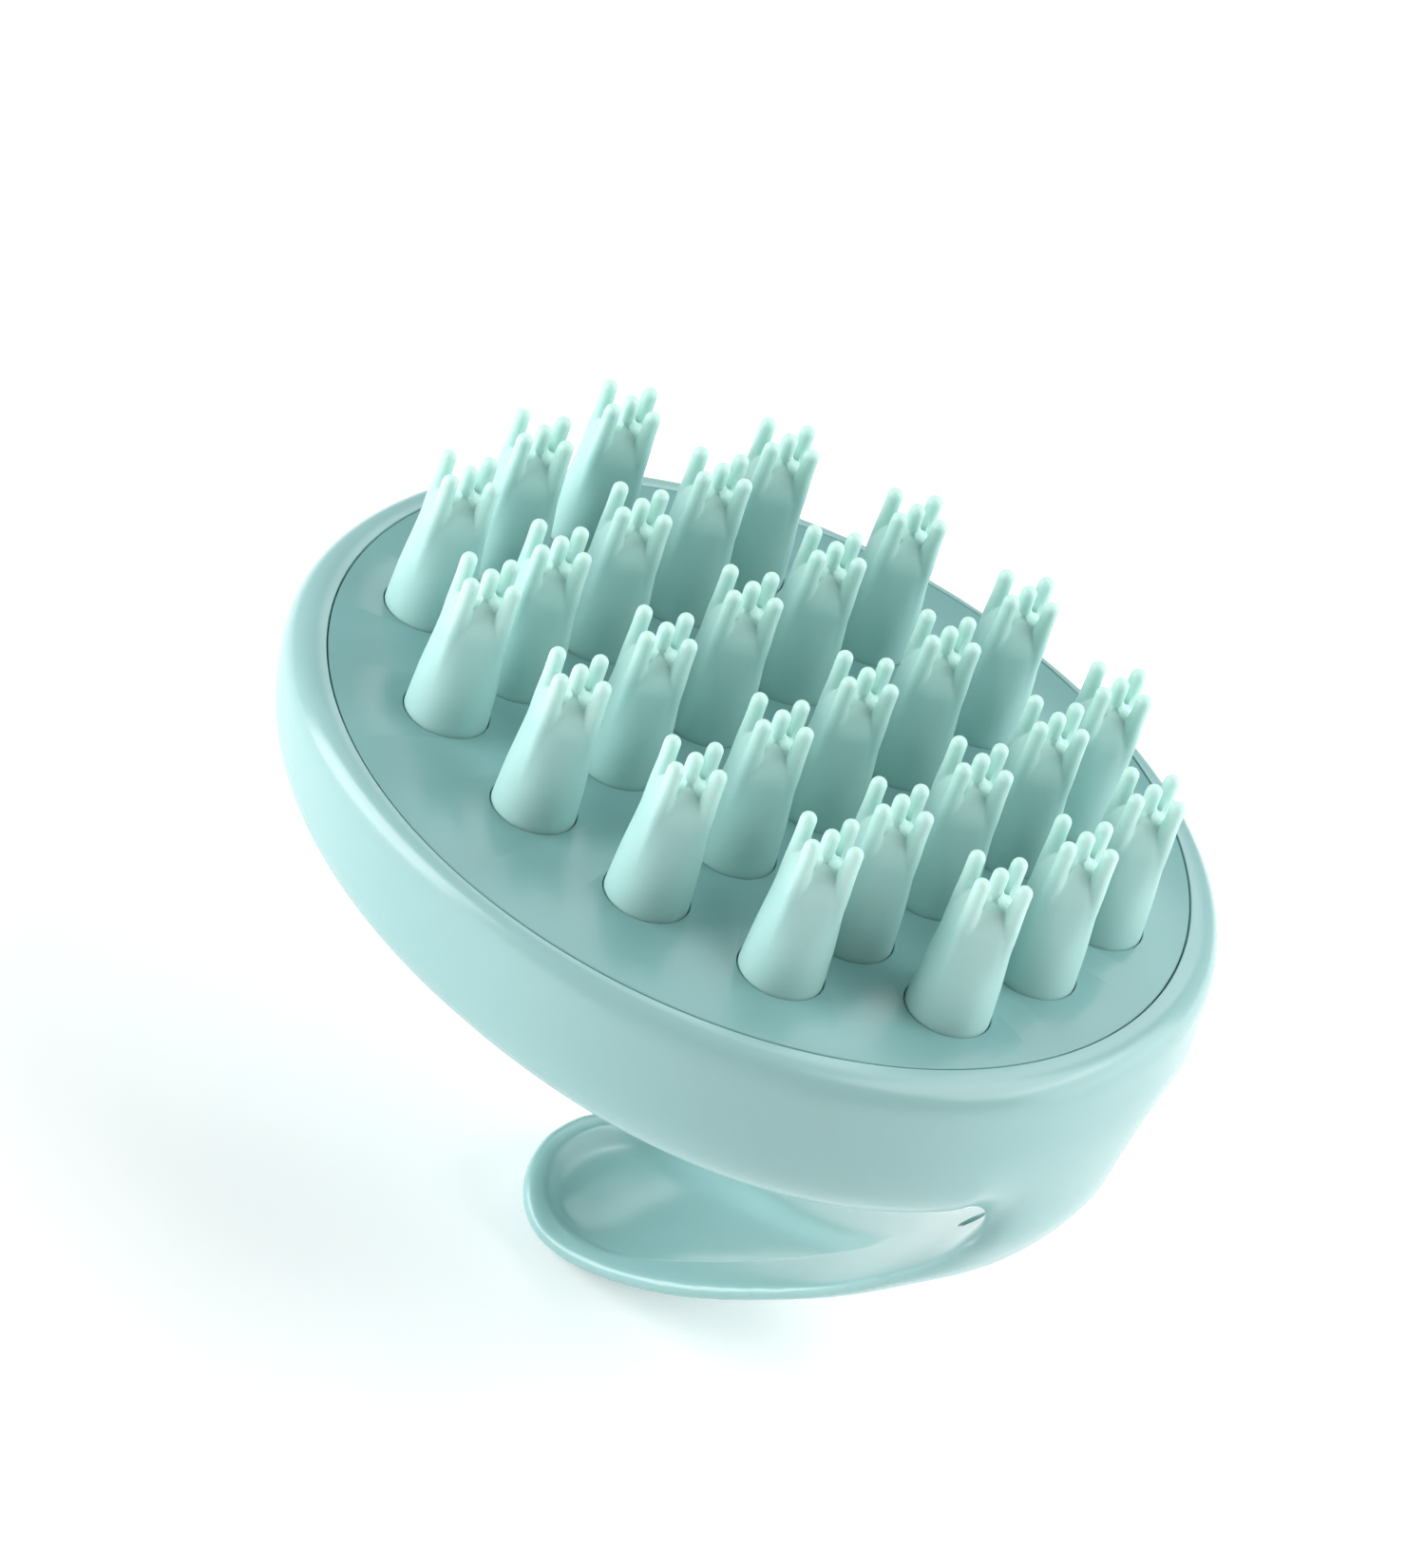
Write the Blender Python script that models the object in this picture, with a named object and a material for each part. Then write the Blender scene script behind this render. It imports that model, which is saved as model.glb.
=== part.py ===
"""Scalp massager brush: an oval bowl with a hook handle under it, a face plate and 26 silicone bristles.

Metres, +Z up. The brush stands on the flat of its handle, bristles up. The origin is under the middle of
its bounding box, +X points to the end where the handle joins the bowl, and y = 0 is the mirror plane. The
pieces are modelled around the middle of the face plate's top surface and hang from one empty there.
"""

import math

import bmesh
import bpy
from mathutils import Matrix, Vector

# Place of the face plate's top surface in the world
FACE_HEIGHT = 0.0553
FACE_CENTRE_X = -0.0002

GAP = 0.0003  # between pieces that touch

# Face plate, flush with the inner edge of the rim
PLATE_HALF_X = 0.0439
PLATE_HALF_Y = 0.0395
PLATE_THICK = 0.0020

# Outside of the bowl: from the seam round the rim to the widest line, then in to the bottom
RIM_OUT_X = 0.0034
RIM_OUT_Y = 0.0019
RIM_DROP = 0.0038
RIM_POWER = 2.5
OUTLINE_POWER = 2.12  # the widest line is a little squarer than the oval of the seam
BOWL_DEPTH = 0.0222
BOWL_POWER = 4.0
BOWL_ROUND = 1.4
BOWL_SHIFT = 0.0045  # the bottom's middle lies nearer to the handle's root
BOWL_TILT = 2.7  # part by which the bowl is deeper for each metre towards the root
WALL = 0.0022
LEDGE_WIDTH = 0.0017
LEDGE_THICK = 0.0015

# Handle, as stations from inside the bowl's end wall to the tip. Each holds the x and z of its front face,
# its half width and its thickness
HANDLE_STATIONS = (
    (0.0405, -0.0050, 0.0115, 0.0044),
    (0.0427, -0.0155, 0.0112, 0.0046),
    (0.0394, -0.0236, 0.0104, 0.0058),
    (0.0360, -0.0306, 0.0103, 0.0037),
    (0.0277, -0.0394, 0.0104, 0.0030),
    (0.0154, -0.0477, 0.0122, 0.0030),
    (0.0033, -0.0525, 0.0118, 0.0031),
    (-0.0063, -0.0499, 0.0102, 0.0034),
)
NECK_POWER = 1.0  # of the section's curve: 1 gives an ellipse, less gives a flatter strap
PAD_POWER = 0.8
PAD_START = 3.0  # station numbers between which the neck's section becomes the finger pad's
PAD_FULL = 5.0
FRONT_PART = 0.35  # of the thickness, in front of the widest line of the section
TIP_ROUND = 0.9  # part of the last stretch between stations over which the tip rounds off
DISH_START = 3.6  # station number of the point where the finger dish begins
DISH_WIDEN = 0.0054  # half width that the dish gains in one station
DISH_DEPTH = 0.0012
DISH_RIM = 0.0023
HANG_HOLE_RADIUS = 0.0016
HANG_HOLE_STATION = 2.55
HANG_HOLE_REACH = (-0.009, 0.004)  # of the cutter, behind and before the handle's front face

# Flat on the back of the handle that the brush stands on
FLOOR_CUTTER_HALF_X = 0.030
FLOOR_CUTTER_HALF_Y = 0.020
FLOOR_CUTTER_DEPTH = 0.010

# Bristles, as (x, y) of one quarter of the pattern, which is symmetric about both axes
BRISTLE_QUARTER = (
    (0.0072, 0.0),
    (0.0213, 0.0),
    (0.0340, 0.0),
    (0.0072, 0.01275),
    (0.0212, 0.0120),
    (0.0330, 0.0119),
    (0.0071, 0.0253),
    (0.02105, 0.0222),
)
BRISTLE_BASE_RADIUS = 0.00405
SHOULDER_RADIUS = 0.00345
SHOULDER_HEIGHT = 0.0105
DOME_HEIGHT = 0.0129
PIN_RADIUS = 0.00078
PIN_OFFSET = 0.00282
PIN_ROOT_HEIGHT = 0.0085
PIN_TIP_HEIGHT = 0.0165
FOOT_RADIUS = 0.0049
FOOT_THICK = 0.0012

# Retainer behind the bristles' feet, its screws and the plate's snap hooks
RETAINER_HALF_X = 0.0398
RETAINER_HALF_Y = 0.0335
RETAINER_THICK = 0.0016
SCREW_SPOTS = (
    (0.0272, 0.0060),
    (0.0272, -0.0060),
    (0.0, 0.0190),
    (0.0, -0.0190),
    (-0.0272, 0.0060),
    (-0.0272, -0.0060),
)
SCREW_RADIUS = 0.0010
SCREW_HEAD_RADIUS = 0.0021
SCREW_HEAD_THICK = 0.0013
SCREW_LENGTH = 0.0042
BOSS_RADIUS = 0.0023
BOSS_HEIGHT = 0.0015
PILOT_ROOF = 0.0007  # material left over a screw's pilot hole
SINK = 0.0004  # how far a joined-on piece reaches into the plate
CUT_EXTRA = 0.001  # how far a cutter reaches past what it cuts
HOOK_ANGLES = (0, 64, 116, 180, 244, 296)  # degrees round the plate
HOOK_WIDTH = 0.0050
HOOK_THICK = 0.0012
HOOK_BARB = 0.0009
HOOK_BARB_HEIGHT = 0.0015
HOOK_INSET = 0.0002  # the tab is straight and the ledge is curved

BOWL_PARTS = (0.0, 0.25, 0.45, 0.62, 0.76, 0.87, 0.95, 0.99)  # levels of the rings, of the bowl's depth
CAVITY_PARTS = (0.0, 0.45, 0.76, 0.95)
PLATE_SIDES = 64
HANDLE_SIDES = 22
BRISTLE_SIDES = 12
PIN_SIDES = 5
HOLE_SIDES = 14
SCREW_SIDES = 12
PILOT_SIDES = 8


def clear_scene():
    for obj in list(bpy.data.objects):
        bpy.data.objects.remove(obj, do_unlink=True)


def material(name, colour, roughness):
    made = bpy.data.materials.new(name)
    made.use_nodes = True
    shader = made.node_tree.nodes["Principled BSDF"]
    shader.inputs["Base Color"].default_value = (*colour, 1.0)
    shader.inputs["Roughness"].default_value = roughness
    shader.inputs["Metallic"].default_value = 1.0 if name == "screw_steel" else 0.0
    return made


def new_object(name, mesh, parent, look=None):
    obj = bpy.data.objects.new(name, mesh)
    bpy.context.scene.collection.objects.link(obj)
    obj.parent = parent
    if look and not mesh.materials:
        mesh.materials.append(look)
    return obj


def lofted_mesh(name, rings):
    """Closed mesh through a list of rings with the same number of points, with a face on each end."""
    bm = bmesh.new()
    loops = [[bm.verts.new(point) for point in ring] for ring in rings]
    count = len(rings[0])
    for lower, upper in zip(loops, loops[1:]):
        for i in range(count):
            j = (i + 1) % count
            bm.faces.new((lower[i], lower[j], upper[j], upper[i]))
    bm.faces.new(loops[0])
    bm.faces.new(loops[-1])
    bmesh.ops.recalc_face_normals(bm, faces=bm.faces)
    mesh = bpy.data.meshes.new(name)
    bm.to_mesh(mesh)
    bm.free()
    mesh.shade_smooth()
    mesh.set_sharp_from_angle(angle=math.radians(35))
    return mesh


def power(value, exponent):
    """The power of the size of a number, with the number's own sign."""
    return math.copysign(abs(value) ** exponent, value)


def oval(half_x, half_y, z, centre_x=0.0, sides=PLATE_SIDES, square=2.0):
    """Ring of a level oval. A square value over 2 fills out its corners."""
    turns = [2 * math.pi * i / sides for i in range(sides)]
    reach = [(power(math.cos(a), 2 / square), power(math.sin(a), 2 / square)) for a in turns]
    return [Vector((centre_x + half_x * x, half_y * y, z)) for x, y in reach]


def disc(radius, z, sides, x=0.0, y=0.0):
    turns = [2 * math.pi * (i + 0.5) / sides for i in range(sides)]
    return [Vector((x + radius * math.cos(a), y + radius * math.sin(a), z)) for a in turns]


def boolean(target, cutter, operation="DIFFERENCE"):
    """Adds a Boolean modifier that uses a hidden helper."""
    cutter.hide_render = True
    cutter.display_type = "WIRE"
    modifier = target.modifiers.new(cutter.name, "BOOLEAN")
    modifier.operation = operation
    modifier.object = cutter
    return modifier


def tilted(ring):
    """The ring, deeper towards the handle's root."""
    return [Vector((point.x, point.y, point.z * (1 + BOWL_TILT * point.x))) for point in ring]


def rim_ring(turn):
    """Outer ring of the rim, from the seam (turn 0) to the widest line (turn 1)."""
    angle = turn * math.pi / 2
    out = math.sin(angle) ** (2 / RIM_POWER)
    down = 1 - math.cos(angle) ** (2 / RIM_POWER)
    square = 2 + (OUTLINE_POWER - 2) * out
    half_x = PLATE_HALF_X + RIM_OUT_X * out
    half_y = PLATE_HALF_Y + RIM_OUT_Y * out
    return tilted(oval(half_x, half_y, -RIM_DROP * down, square=square))


def bowl_ring(part, inset=0.0):
    """Ring of the bowl from its widest line (part 0) to the bottom (part 1), moved inwards by the inset."""
    size = (1 - part**BOWL_POWER) ** (1 / BOWL_ROUND)
    half_x = (PLATE_HALF_X + RIM_OUT_X - inset) * size
    half_y = (PLATE_HALF_Y + RIM_OUT_Y - inset) * size
    depth = RIM_DROP + part * (BOWL_DEPTH - inset - RIM_DROP)
    return tilted(oval(half_x, half_y, -depth, BOWL_SHIFT * part**1.5, square=OUTLINE_POWER))


def bowl_mesh():
    """The bowl as one closed wall: cavity, ledge, the plate's seat, rim, outside and bottom."""
    seat = PLATE_THICK + GAP
    ledge_x = PLATE_HALF_X - LEDGE_WIDTH
    ledge_y = PLATE_HALF_Y - LEDGE_WIDTH
    rings = [bowl_ring(part, WALL) for part in reversed(CAVITY_PARTS)]
    rings.append(oval(ledge_x, ledge_y, -seat - LEDGE_THICK))
    rings.append(oval(ledge_x, ledge_y, -seat))
    rings.append(oval(PLATE_HALF_X, PLATE_HALF_Y, -seat))
    rings += [rim_ring(turn) for turn in (0.0, 0.12, 0.3, 0.5, 0.72, 1.0)]
    rings += [bowl_ring(part) for part in BOWL_PARTS[1:]]
    return lofted_mesh("bowl", rings)


def spline(values, at):
    """Catmull-Rom curve through evenly spaced values."""
    last = len(values) - 1
    i = min(int(at), last - 1)
    t = at - i
    before = values[i - 1] if i > 0 else 2 * values[0] - values[1]
    after = values[i + 2] if i + 2 <= last else 2 * values[last] - values[last - 1]
    start, end = values[i], values[i + 1]
    slope_a, slope_b = (end - before) / 2, (after - start) / 2
    return (
        (2 * t**3 - 3 * t**2 + 1) * start
        + (t**3 - 2 * t**2 + t) * slope_a
        + (3 * t**2 - 2 * t**3) * end
        + (t**3 - t**2) * slope_b
    )


def handle_frame(at):
    """Middle of the front face, and the direction that it looks in, at a station number."""
    xs = [row[0] for row in HANDLE_STATIONS]
    zs = [row[1] for row in HANDLE_STATIONS]
    step = 0.01
    middle = Vector((spline(xs, at), 0.0, spline(zs, at)))
    ahead = Vector((spline(xs, at + step), 0.0, spline(zs, at + step)))
    back = Vector((spline(xs, max(at - step, 0.0)), 0.0, spline(zs, max(at - step, 0.0))))
    along = (ahead - back).normalized()
    return middle, Vector((along.z, 0.0, -along.x))


def handle_ring(at, sides):
    """One cross-section of the handle: rounded edges, a convex back and a front that the dish hollows."""
    last = len(HANDLE_STATIONS) - 1
    half_width, thick = (spline([row[k] for row in HANDLE_STATIONS], at) for k in (2, 3))
    full_width = half_width
    close = max(0.0, (at - (last - TIP_ROUND)) / TIP_ROUND)
    half_width *= math.sqrt(1 - close**2.2)
    thin = math.sqrt(1 - close**4)
    dish_half = min(half_width - DISH_RIM, DISH_WIDEN * (at - DISH_START))
    dish = DISH_DEPTH * max(0.0, dish_half) / (full_width - DISH_RIM)
    front = thick * FRONT_PART
    pad = min(1.0, max(0.0, (at - PAD_START) / (PAD_FULL - PAD_START)))
    curve = NECK_POWER + (PAD_POWER - NECK_POWER) * pad
    middle, up = handle_frame(at)
    ring = []
    for i in range(sides):
        angle = 2 * math.pi * i / sides
        y = half_width * power(math.cos(angle), curve)
        rise = power(math.sin(angle), curve)
        lift = rise * thin * (front if rise > 0 else thick - front) - front
        if rise > 0 and abs(y) < dish_half:
            lift -= dish * (1 - (y / dish_half) ** 2)
        ring.append(middle + Vector((0.0, y, 0.0)) + up * lift)
    return ring


def handle_mesh():
    last = len(HANDLE_STATIONS) - 1
    steps = [i / 3 for i in range(3 * (last - 1) + 1)]
    steps += [last - 1 + part for part in (0.3, 0.55, 0.75, 0.88, 0.96, 0.99)]
    return lofted_mesh("handle", [handle_ring(at, HANDLE_SIDES) for at in steps])


def make_shell(parent, look):
    """Bowl and handle as one moulding, with the flat that it stands on and the hole at the handle's root."""
    shell = new_object("shell", bowl_mesh(), parent, look)
    boolean(shell, new_object("handle_solid", handle_mesh(), parent), "UNION")

    # The handle's inner end must not stand inside the bowl's cavity
    cavity = [bowl_ring(part, WALL) for part in reversed(CAVITY_PARTS)]
    boolean(shell, new_object("cavity_cutter", lofted_mesh("cavity_cutter", cavity), parent))

    levels = (-FACE_HEIGHT - FLOOR_CUTTER_DEPTH, -FACE_HEIGHT)
    floor = [oval(FLOOR_CUTTER_HALF_X, FLOOR_CUTTER_HALF_Y, z, sides=8) for z in levels]
    boolean(shell, new_object("floor_cutter", lofted_mesh("floor_cutter", floor), parent))

    middle, up = handle_frame(HANG_HOLE_STATION)
    rings = [disc(HANG_HOLE_RADIUS, z, HOLE_SIDES) for z in HANG_HOLE_REACH]
    hole = lofted_mesh("hang_hole_cutter", rings)
    hole.transform(Matrix.Translation(middle) @ up.to_track_quat("Z", "Y").to_matrix().to_4x4())
    boolean(shell, new_object("hang_hole_cutter", hole, parent))
    return shell


def bristle_spots():
    """All bristle places, row by row from the free end to the handle's root."""
    spots = {(sx * x, sy * y) for x, y in BRISTLE_QUARTER for sx in (1, -1) for sy in (1, -1)}
    return sorted(spots, key=lambda spot: (round(spot[1] / 0.006), spot[0]))


def joined(mesh_list, name):
    """One mesh of several closed shells, which a Boolean joins or cuts."""
    bm = bmesh.new()
    for mesh in mesh_list:
        bm.from_mesh(mesh)
    out = bpy.data.meshes.new(name)
    bm.to_mesh(out)
    bm.free()
    return out


def posts(name, radius, sides, low, high, spots):
    """One mesh of equal upright round posts."""
    rings = [[disc(radius, z, sides, x, y) for z in (low, high)] for x, y in spots]
    return joined([lofted_mesh(name, pair) for pair in rings], name)


def make_face_plate(parent, look):
    """The plate with bosses and snap hooks under it, cut by the bristle holes and the screws' pilot holes."""
    under = -PLATE_THICK
    rings = [oval(PLATE_HALF_X - GAP, PLATE_HALF_Y - GAP, z) for z in (under, 0.0)]
    plate = new_object("face_plate", lofted_mesh("face_plate", rings), parent, look)

    bosses = posts("bosses", BOSS_RADIUS, SCREW_SIDES, under - BOSS_HEIGHT, under + SINK, SCREW_SPOTS)
    boolean(plate, new_object("bosses", bosses, parent), "UNION")
    hooks = joined([hook_mesh(degrees) for degrees in HOOK_ANGLES], "snap_hooks")
    boolean(plate, new_object("snap_hooks", hooks, parent), "UNION")

    radius = BRISTLE_BASE_RADIUS + GAP
    holes = posts("bristle_holes", radius, HOLE_SIDES, under - CUT_EXTRA, CUT_EXTRA, bristle_spots())
    boolean(plate, new_object("bristle_holes", holes, parent))
    low = under - BOSS_HEIGHT - CUT_EXTRA
    pilots = posts("pilots", SCREW_RADIUS + GAP, PILOT_SIDES, low, -PILOT_ROOF, SCREW_SPOTS)
    boolean(plate, new_object("screw_pilots", pilots, parent))
    return plate


def hook_mesh(degrees):
    """Snap hook under the plate's edge: a tab inside the shell's ledge with a barb under it."""
    angle = math.radians(degrees)
    cos, sin = math.cos(angle), math.sin(angle)
    reach = LEDGE_WIDTH + GAP
    foot = Vector(((PLATE_HALF_X - reach) * cos, (PLATE_HALF_Y - reach) * sin, 0.0))
    outward = Vector((cos / PLATE_HALF_X, sin / PLATE_HALF_Y, 0.0)).normalized()
    side = Vector((-outward.y, outward.x, 0.0)) * (HOOK_WIDTH / 2)
    top = -PLATE_THICK + SINK
    under = -(PLATE_THICK + GAP + LEDGE_THICK + GAP)
    profile = (
        (-HOOK_INSET, top),
        (-HOOK_INSET, under),
        (HOOK_BARB, under),
        (-HOOK_INSET, under - HOOK_BARB_HEIGHT),
        (-HOOK_INSET - HOOK_THICK, under - HOOK_BARB_HEIGHT),
        (-HOOK_INSET - HOOK_THICK, top),
    )
    flat = [foot + outward * out + Vector((0.0, 0.0, z)) for out, z in profile]
    return lofted_mesh("hook", [[point + side * sign for point in flat] for sign in (-1, 1)])


def bristle_mesh():
    """Foot, tapered column and domed shoulder. The pins are joined on by a Boolean."""
    top = -PLATE_THICK - GAP
    rings = [
        disc(FOOT_RADIUS, top - FOOT_THICK, BRISTLE_SIDES),
        disc(FOOT_RADIUS, top, BRISTLE_SIDES),
        disc(BRISTLE_BASE_RADIUS, top, BRISTLE_SIDES),
        disc(BRISTLE_BASE_RADIUS, 0.0, BRISTLE_SIDES),
        disc(SHOULDER_RADIUS, SHOULDER_HEIGHT, BRISTLE_SIDES),
        disc(SHOULDER_RADIUS * 0.72, SHOULDER_HEIGHT + 0.0017, BRISTLE_SIDES),
        disc(SHOULDER_RADIUS * 0.25, DOME_HEIGHT, BRISTLE_SIDES),
    ]
    return lofted_mesh("bristle", rings)


def pin_mesh():
    """The five round-ended pins of one bristle."""
    pins = []
    for x, y in ((0, 0), (PIN_OFFSET, 0), (-PIN_OFFSET, 0), (0, PIN_OFFSET), (0, -PIN_OFFSET)):
        top = PIN_TIP_HEIGHT - PIN_RADIUS
        rings = [disc(PIN_RADIUS, z, PIN_SIDES, x, y) for z in (PIN_ROOT_HEIGHT, top)]
        rings.append(disc(PIN_RADIUS * 0.5, PIN_TIP_HEIGHT, PIN_SIDES, x, y))
        pins.append(lofted_mesh("pin", rings))
    return joined(pins, "pins")


def make_bristles(parent, look):
    """The pins are joined to one column, and all bristles share the mesh that comes out."""
    model = new_object("bristle_model", bristle_mesh(), parent, look)
    boolean(model, new_object("bristle_pins", pin_mesh(), parent), "UNION")
    graph = bpy.context.evaluated_depsgraph_get()
    mesh = bpy.data.meshes.new_from_object(model.evaluated_get(graph))
    mesh.name = "bristle"
    model.hide_render = True
    model.display_type = "WIRE"
    for number, (x, y) in enumerate(bristle_spots(), start=1):
        new_object(f"bristle_{number:02d}", mesh, parent, look).location = (x, y, 0.0)


def make_retainer(parent, look):
    """Plate behind the bristles' feet. Returns the height of its underside, where the screw heads bear."""
    top = -PLATE_THICK - GAP - FOOT_THICK - GAP
    under = top - RETAINER_THICK
    rings = [oval(RETAINER_HALF_X, RETAINER_HALF_Y, z, sides=48) for z in (under, top)]
    mesh = lofted_mesh("bristle_retainer", rings)
    retainer = new_object("bristle_retainer", mesh, parent, look)
    low, high = under - CUT_EXTRA, top + CUT_EXTRA
    holes = posts("screw_holes", SCREW_RADIUS + GAP, PILOT_SIDES, low, high, SCREW_SPOTS)
    boolean(retainer, new_object("screw_holes", holes, parent))
    return under


def make_screws(parent, look, seat):
    """Pan-head screws up through the retainer into the plate's bosses."""
    top = seat - GAP
    rings = [
        disc(SCREW_HEAD_RADIUS * 0.7, top - SCREW_HEAD_THICK, SCREW_SIDES),
        disc(SCREW_HEAD_RADIUS, top - SCREW_HEAD_THICK * 0.6, SCREW_SIDES),
        disc(SCREW_HEAD_RADIUS, top, SCREW_SIDES),
        disc(SCREW_RADIUS, top, SCREW_SIDES),
        disc(SCREW_RADIUS, top + SCREW_LENGTH * 0.9, SCREW_SIDES),
        disc(SCREW_RADIUS * 0.4, top + SCREW_LENGTH, SCREW_SIDES),
    ]
    mesh = lofted_mesh("retainer_screw", rings)
    for number, (x, y) in enumerate(SCREW_SPOTS, start=1):
        new_object(f"retainer_screw_{number}", mesh, parent, look).location = (x, y, 0.0)


def main():
    clear_scene()
    frame = bpy.data.objects.new("brush_frame", None)
    bpy.context.scene.collection.objects.link(frame)
    frame.location = (FACE_CENTRE_X, 0.0, FACE_HEIGHT)
    bpy.context.view_layer.update()

    mint = (0.36, 0.66, 0.63)
    make_shell(frame, material("shell_abs", mint, 0.28))
    make_face_plate(frame, material("plate_abs", (0.30, 0.58, 0.57), 0.30))
    make_bristles(frame, material("bristle_silicone", (0.40, 0.70, 0.66), 0.50))
    seat = make_retainer(frame, material("retainer_abs", (0.75, 0.76, 0.75), 0.45))
    make_screws(frame, material("screw_steel", (0.60, 0.61, 0.62), 0.30), seat)


main()
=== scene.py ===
"""Looks of the scalp massager brush: a moulded aqua shell, its flush face plate and 26 silicone bristles.

The shell, the plate and the bristles are built again here, finer and with soft edges, in place of their CAD
nodes. The hidden retainer and screws stay as packed and get materials. Metres. Each shape is drawn about the
middle of the face plate's top surface, and place() moves it there in the CAD's own frame.
"""

import math

import bmesh
import bpy
import numpy as np
from mathutils import Matrix, Vector
from mathutils.bvhtree import BVHTree


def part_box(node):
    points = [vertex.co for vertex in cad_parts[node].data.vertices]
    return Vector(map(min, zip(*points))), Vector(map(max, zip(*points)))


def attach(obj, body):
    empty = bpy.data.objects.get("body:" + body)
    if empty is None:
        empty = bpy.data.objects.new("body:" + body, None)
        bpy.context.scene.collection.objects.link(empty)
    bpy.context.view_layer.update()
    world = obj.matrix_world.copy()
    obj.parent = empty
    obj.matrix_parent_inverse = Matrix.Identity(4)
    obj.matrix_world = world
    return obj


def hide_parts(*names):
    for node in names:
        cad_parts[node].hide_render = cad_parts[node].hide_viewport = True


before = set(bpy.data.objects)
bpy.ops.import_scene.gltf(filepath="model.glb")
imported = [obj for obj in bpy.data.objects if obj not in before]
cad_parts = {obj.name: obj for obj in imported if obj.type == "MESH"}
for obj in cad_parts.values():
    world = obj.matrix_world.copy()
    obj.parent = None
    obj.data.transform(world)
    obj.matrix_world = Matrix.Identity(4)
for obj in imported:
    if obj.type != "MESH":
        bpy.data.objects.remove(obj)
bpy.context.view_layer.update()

# Middle of the face plate's top surface
FACE_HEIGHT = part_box("shell")[1][2]
FACE_CENTRE_X = (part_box("face_plate")[0][0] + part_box("face_plate")[1][0]) / 2

# Face plate, which fills the bowl's opening
PLATE_HALF_X, PLATE_HALF_Y, PLATE_THICK = 0.0439, 0.0395, 0.0020
PLATE_GAP, PLATE_ROUND, PLATE_ROUND_STEPS = 0.00010, 0.00012, 4
PLATE_HOLE_SIDES, PLATE_HOLE_DEPTH = 48, 0.004

# Bowl: a rim from the opening out to the widest line, then a wall down to the bottom
RIM_OUT_X, RIM_OUT_Y, RIM_DROP, RIM_POWER = 0.0034, 0.0019, 0.0038, 2.5
OUTLINE_POWER = 2.12  # of the oval at the widest line: 2 is an ellipse
BOWL_DEPTH, BOWL_POWER, BOWL_ROUND = 0.0222, 4.0, 1.4
BOWL_SHIFT, BOWL_SHIFT_POWER = 0.0045, 1.5  # of the bottom, towards the handle's root
BOWL_TILT = 2.7  # share that the depth grows by for each metre towards the handle's root
RIM_STEPS, BOWL_STEPS, BOWL_CROWDING = 22, 46, 1.6
BOWL_LAST_PARTS = (0.997, 0.9993)

# Hollow of the bowl: a chamfered seat for the plate, as steps out and up, then a ledge, then the cavity
SEAT_CHAMFER = ((0.0006, 0.0005), (0.00013, 0.00003), (0.00005, -0.00009), (0.0, -0.0002))
SEAT_DEPTH = 0.0023
LEDGE_WIDTH, LEDGE_THICK = 0.0017, 0.0015
WALL = 0.0022
CAVITY_PARTS = (0.0, 0.3, 0.5, 0.65, 0.78, 0.88, 0.95, 0.985)

# Handle stations from root to tip: x and z of the front face, half width, thickness
HANDLE_STATIONS = np.array(
    (
        (0.0405, -0.0050, 0.0115, 0.0044),
        (0.0427, -0.0155, 0.0106, 0.0046),
        (0.0408, -0.0234, 0.0101, 0.0046),
        (0.0360, -0.0306, 0.0103, 0.0037),
        (0.0277, -0.0394, 0.0104, 0.0030),
        (0.0154, -0.0477, 0.0122, 0.0030),
        (0.0033, -0.0525, 0.0118, 0.0031),
        (-0.0063, -0.0499, 0.0102, 0.0034),
    )
)
LAST_STATION = len(HANDLE_STATIONS) - 1
NECK_POWER, PAD_POWER = 1.0, 0.62  # of the section: 1 is an ellipse and less is squarer
PAD_START, PAD_FULL = 3.0, 5.0  # stations between which the neck's section turns into the pad's
FRONT_PART = 0.35  # share of the thickness above the section's widest line
TIP_ROUND, TIP_WIDTH_POWER, TIP_THICK_POWER = 0.9, 2.2, 4
TANGENT_STEP = 0.01
HANDLE_SIDES, HANDLE_STEPS, TIP_STEPS, TIP_LAST = 150, 130, 60, 0.02

# Finger dish: two arms spread from its point up the pad, inside a rim that closes round the tip
DISH_START, DISH_WIDEN, DISH_ARM_SLOPE = 3.6, 0.0054, 0.92
DISH_RIM, DISH_TIP_RIM, DISH_TIP_POWER, DISH_RIM_SLOPE = 0.0018, 0.16, 2.2, 0.85
DISH_CORNER = 0.0015
DISH_WALL, DISH_WALL_DEPTH = 0.0026, 0.00100
DISH_FLOOR, DISH_FLOOR_DEPTH = 0.0065, 0.0009

# Hanging hole through the neck
HOLE_RADIUS, HOLE_STATION, HOLE_LIP = 0.0015, 2.6, 0.0005
HOLE_MOUTH_OUT, HOLE_MOUTH_UP = 0.0010, 0.00075
HOLE_SIDES, LIP_STEPS = 40, 6

# Surface of the shell: even points, a fillet between bowl and handle, and a last softening
SHELL_VOXEL = 0.00042
EVEN_ROUNDS, EVEN_WEIGHT, EVEN_PASSES = 4, 0.5, 2
BLEND, BLEND_GAIN, BLEND_ROUNDS = 0.0054, 1.5, 100
BLEND_TOP, BLEND_FADE = -0.0055, 0.0060
SOFTEN_WEIGHT, SOFTEN_ROUNDS = 0.4, 3
STAND_CUT_X, STAND_CUT_Y, STAND_CUT_Z, STAND_CUT_SIDES = 0.03, 0.02, 0.01, 8

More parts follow.
